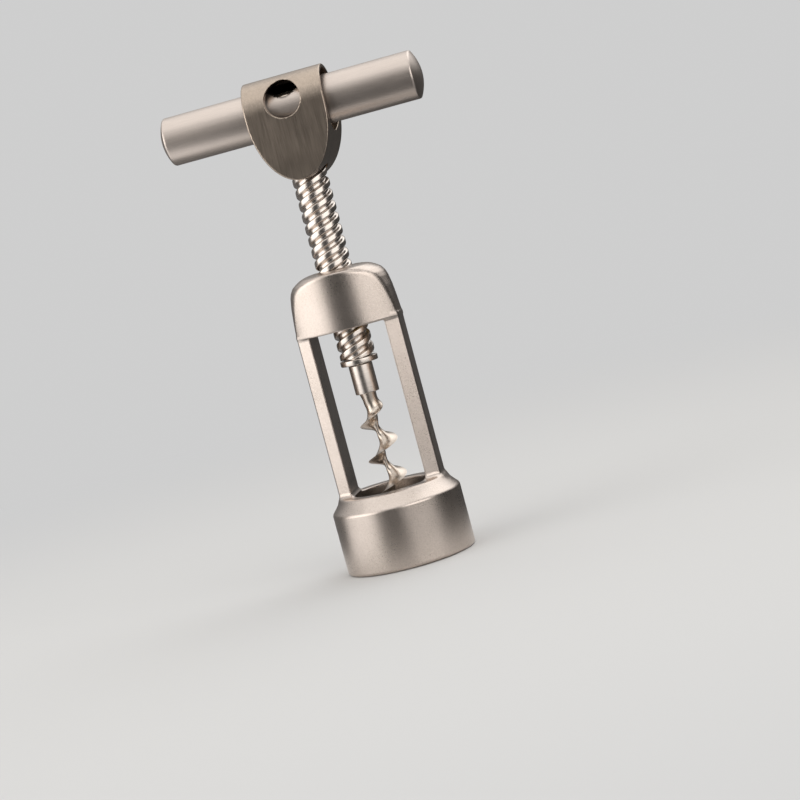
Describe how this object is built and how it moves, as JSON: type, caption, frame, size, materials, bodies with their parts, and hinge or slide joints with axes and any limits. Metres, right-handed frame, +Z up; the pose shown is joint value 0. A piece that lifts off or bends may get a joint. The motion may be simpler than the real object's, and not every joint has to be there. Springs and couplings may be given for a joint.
{
  "type": "bell corkscrew",
  "caption": "Bell corkscrew: a T handle turns a multi-start spindle through the bridge of a bell-footed frame and drives a bladed worm down into a cork.",
  "frame": {"origin": "centre of the bell's flat rim, on the spindle's axis, at the bottom of the part", "axes": "+Z up along the spindle, X along the handle bar, -Y to the front, where the hub has its window"},
  "size_m": [0.078, 0.038, 0.144],
  "materials": {
    "satin_nickel": "satin, bead-blasted nickel plate",
    "bush_brass": "turned",
    "polished_nickel": "polished nickel plate",
    "brushed_nickel": "brushed nickel plate",
    "satin_bar_nickel": "satin nickel plate"
  },
  "bodies": {
    "frame": {"bell_frame": "satin_nickel", "thread_bush": "bush_brass"},
    "stop_ring": {"stop_ring": "polished_nickel"},
    "spindle": {"spindle": "polished_nickel", "worm": "polished_nickel", "hub": "brushed_nickel", "handle_bar": "satin_bar_nickel"}
  },
  "joints": [
    {"name": "spindle_travel", "type": "slide", "parent": "frame", "child": "stop_ring", "axis": [0, 0, 1], "range_m": [-0.0264, 0.0087]},
    {"name": "spindle_turn", "type": "hinge", "parent": "stop_ring", "child": "spindle", "pos_m": [0, 0, 0.0595], "axis": [0, 0, 1], "range_deg": [-912, 300]}
  ],
  "couplings": [
    {"joint": "spindle_travel", "follows": "spindle_turn", "m_per_rad": 0.0016552}
  ]
}
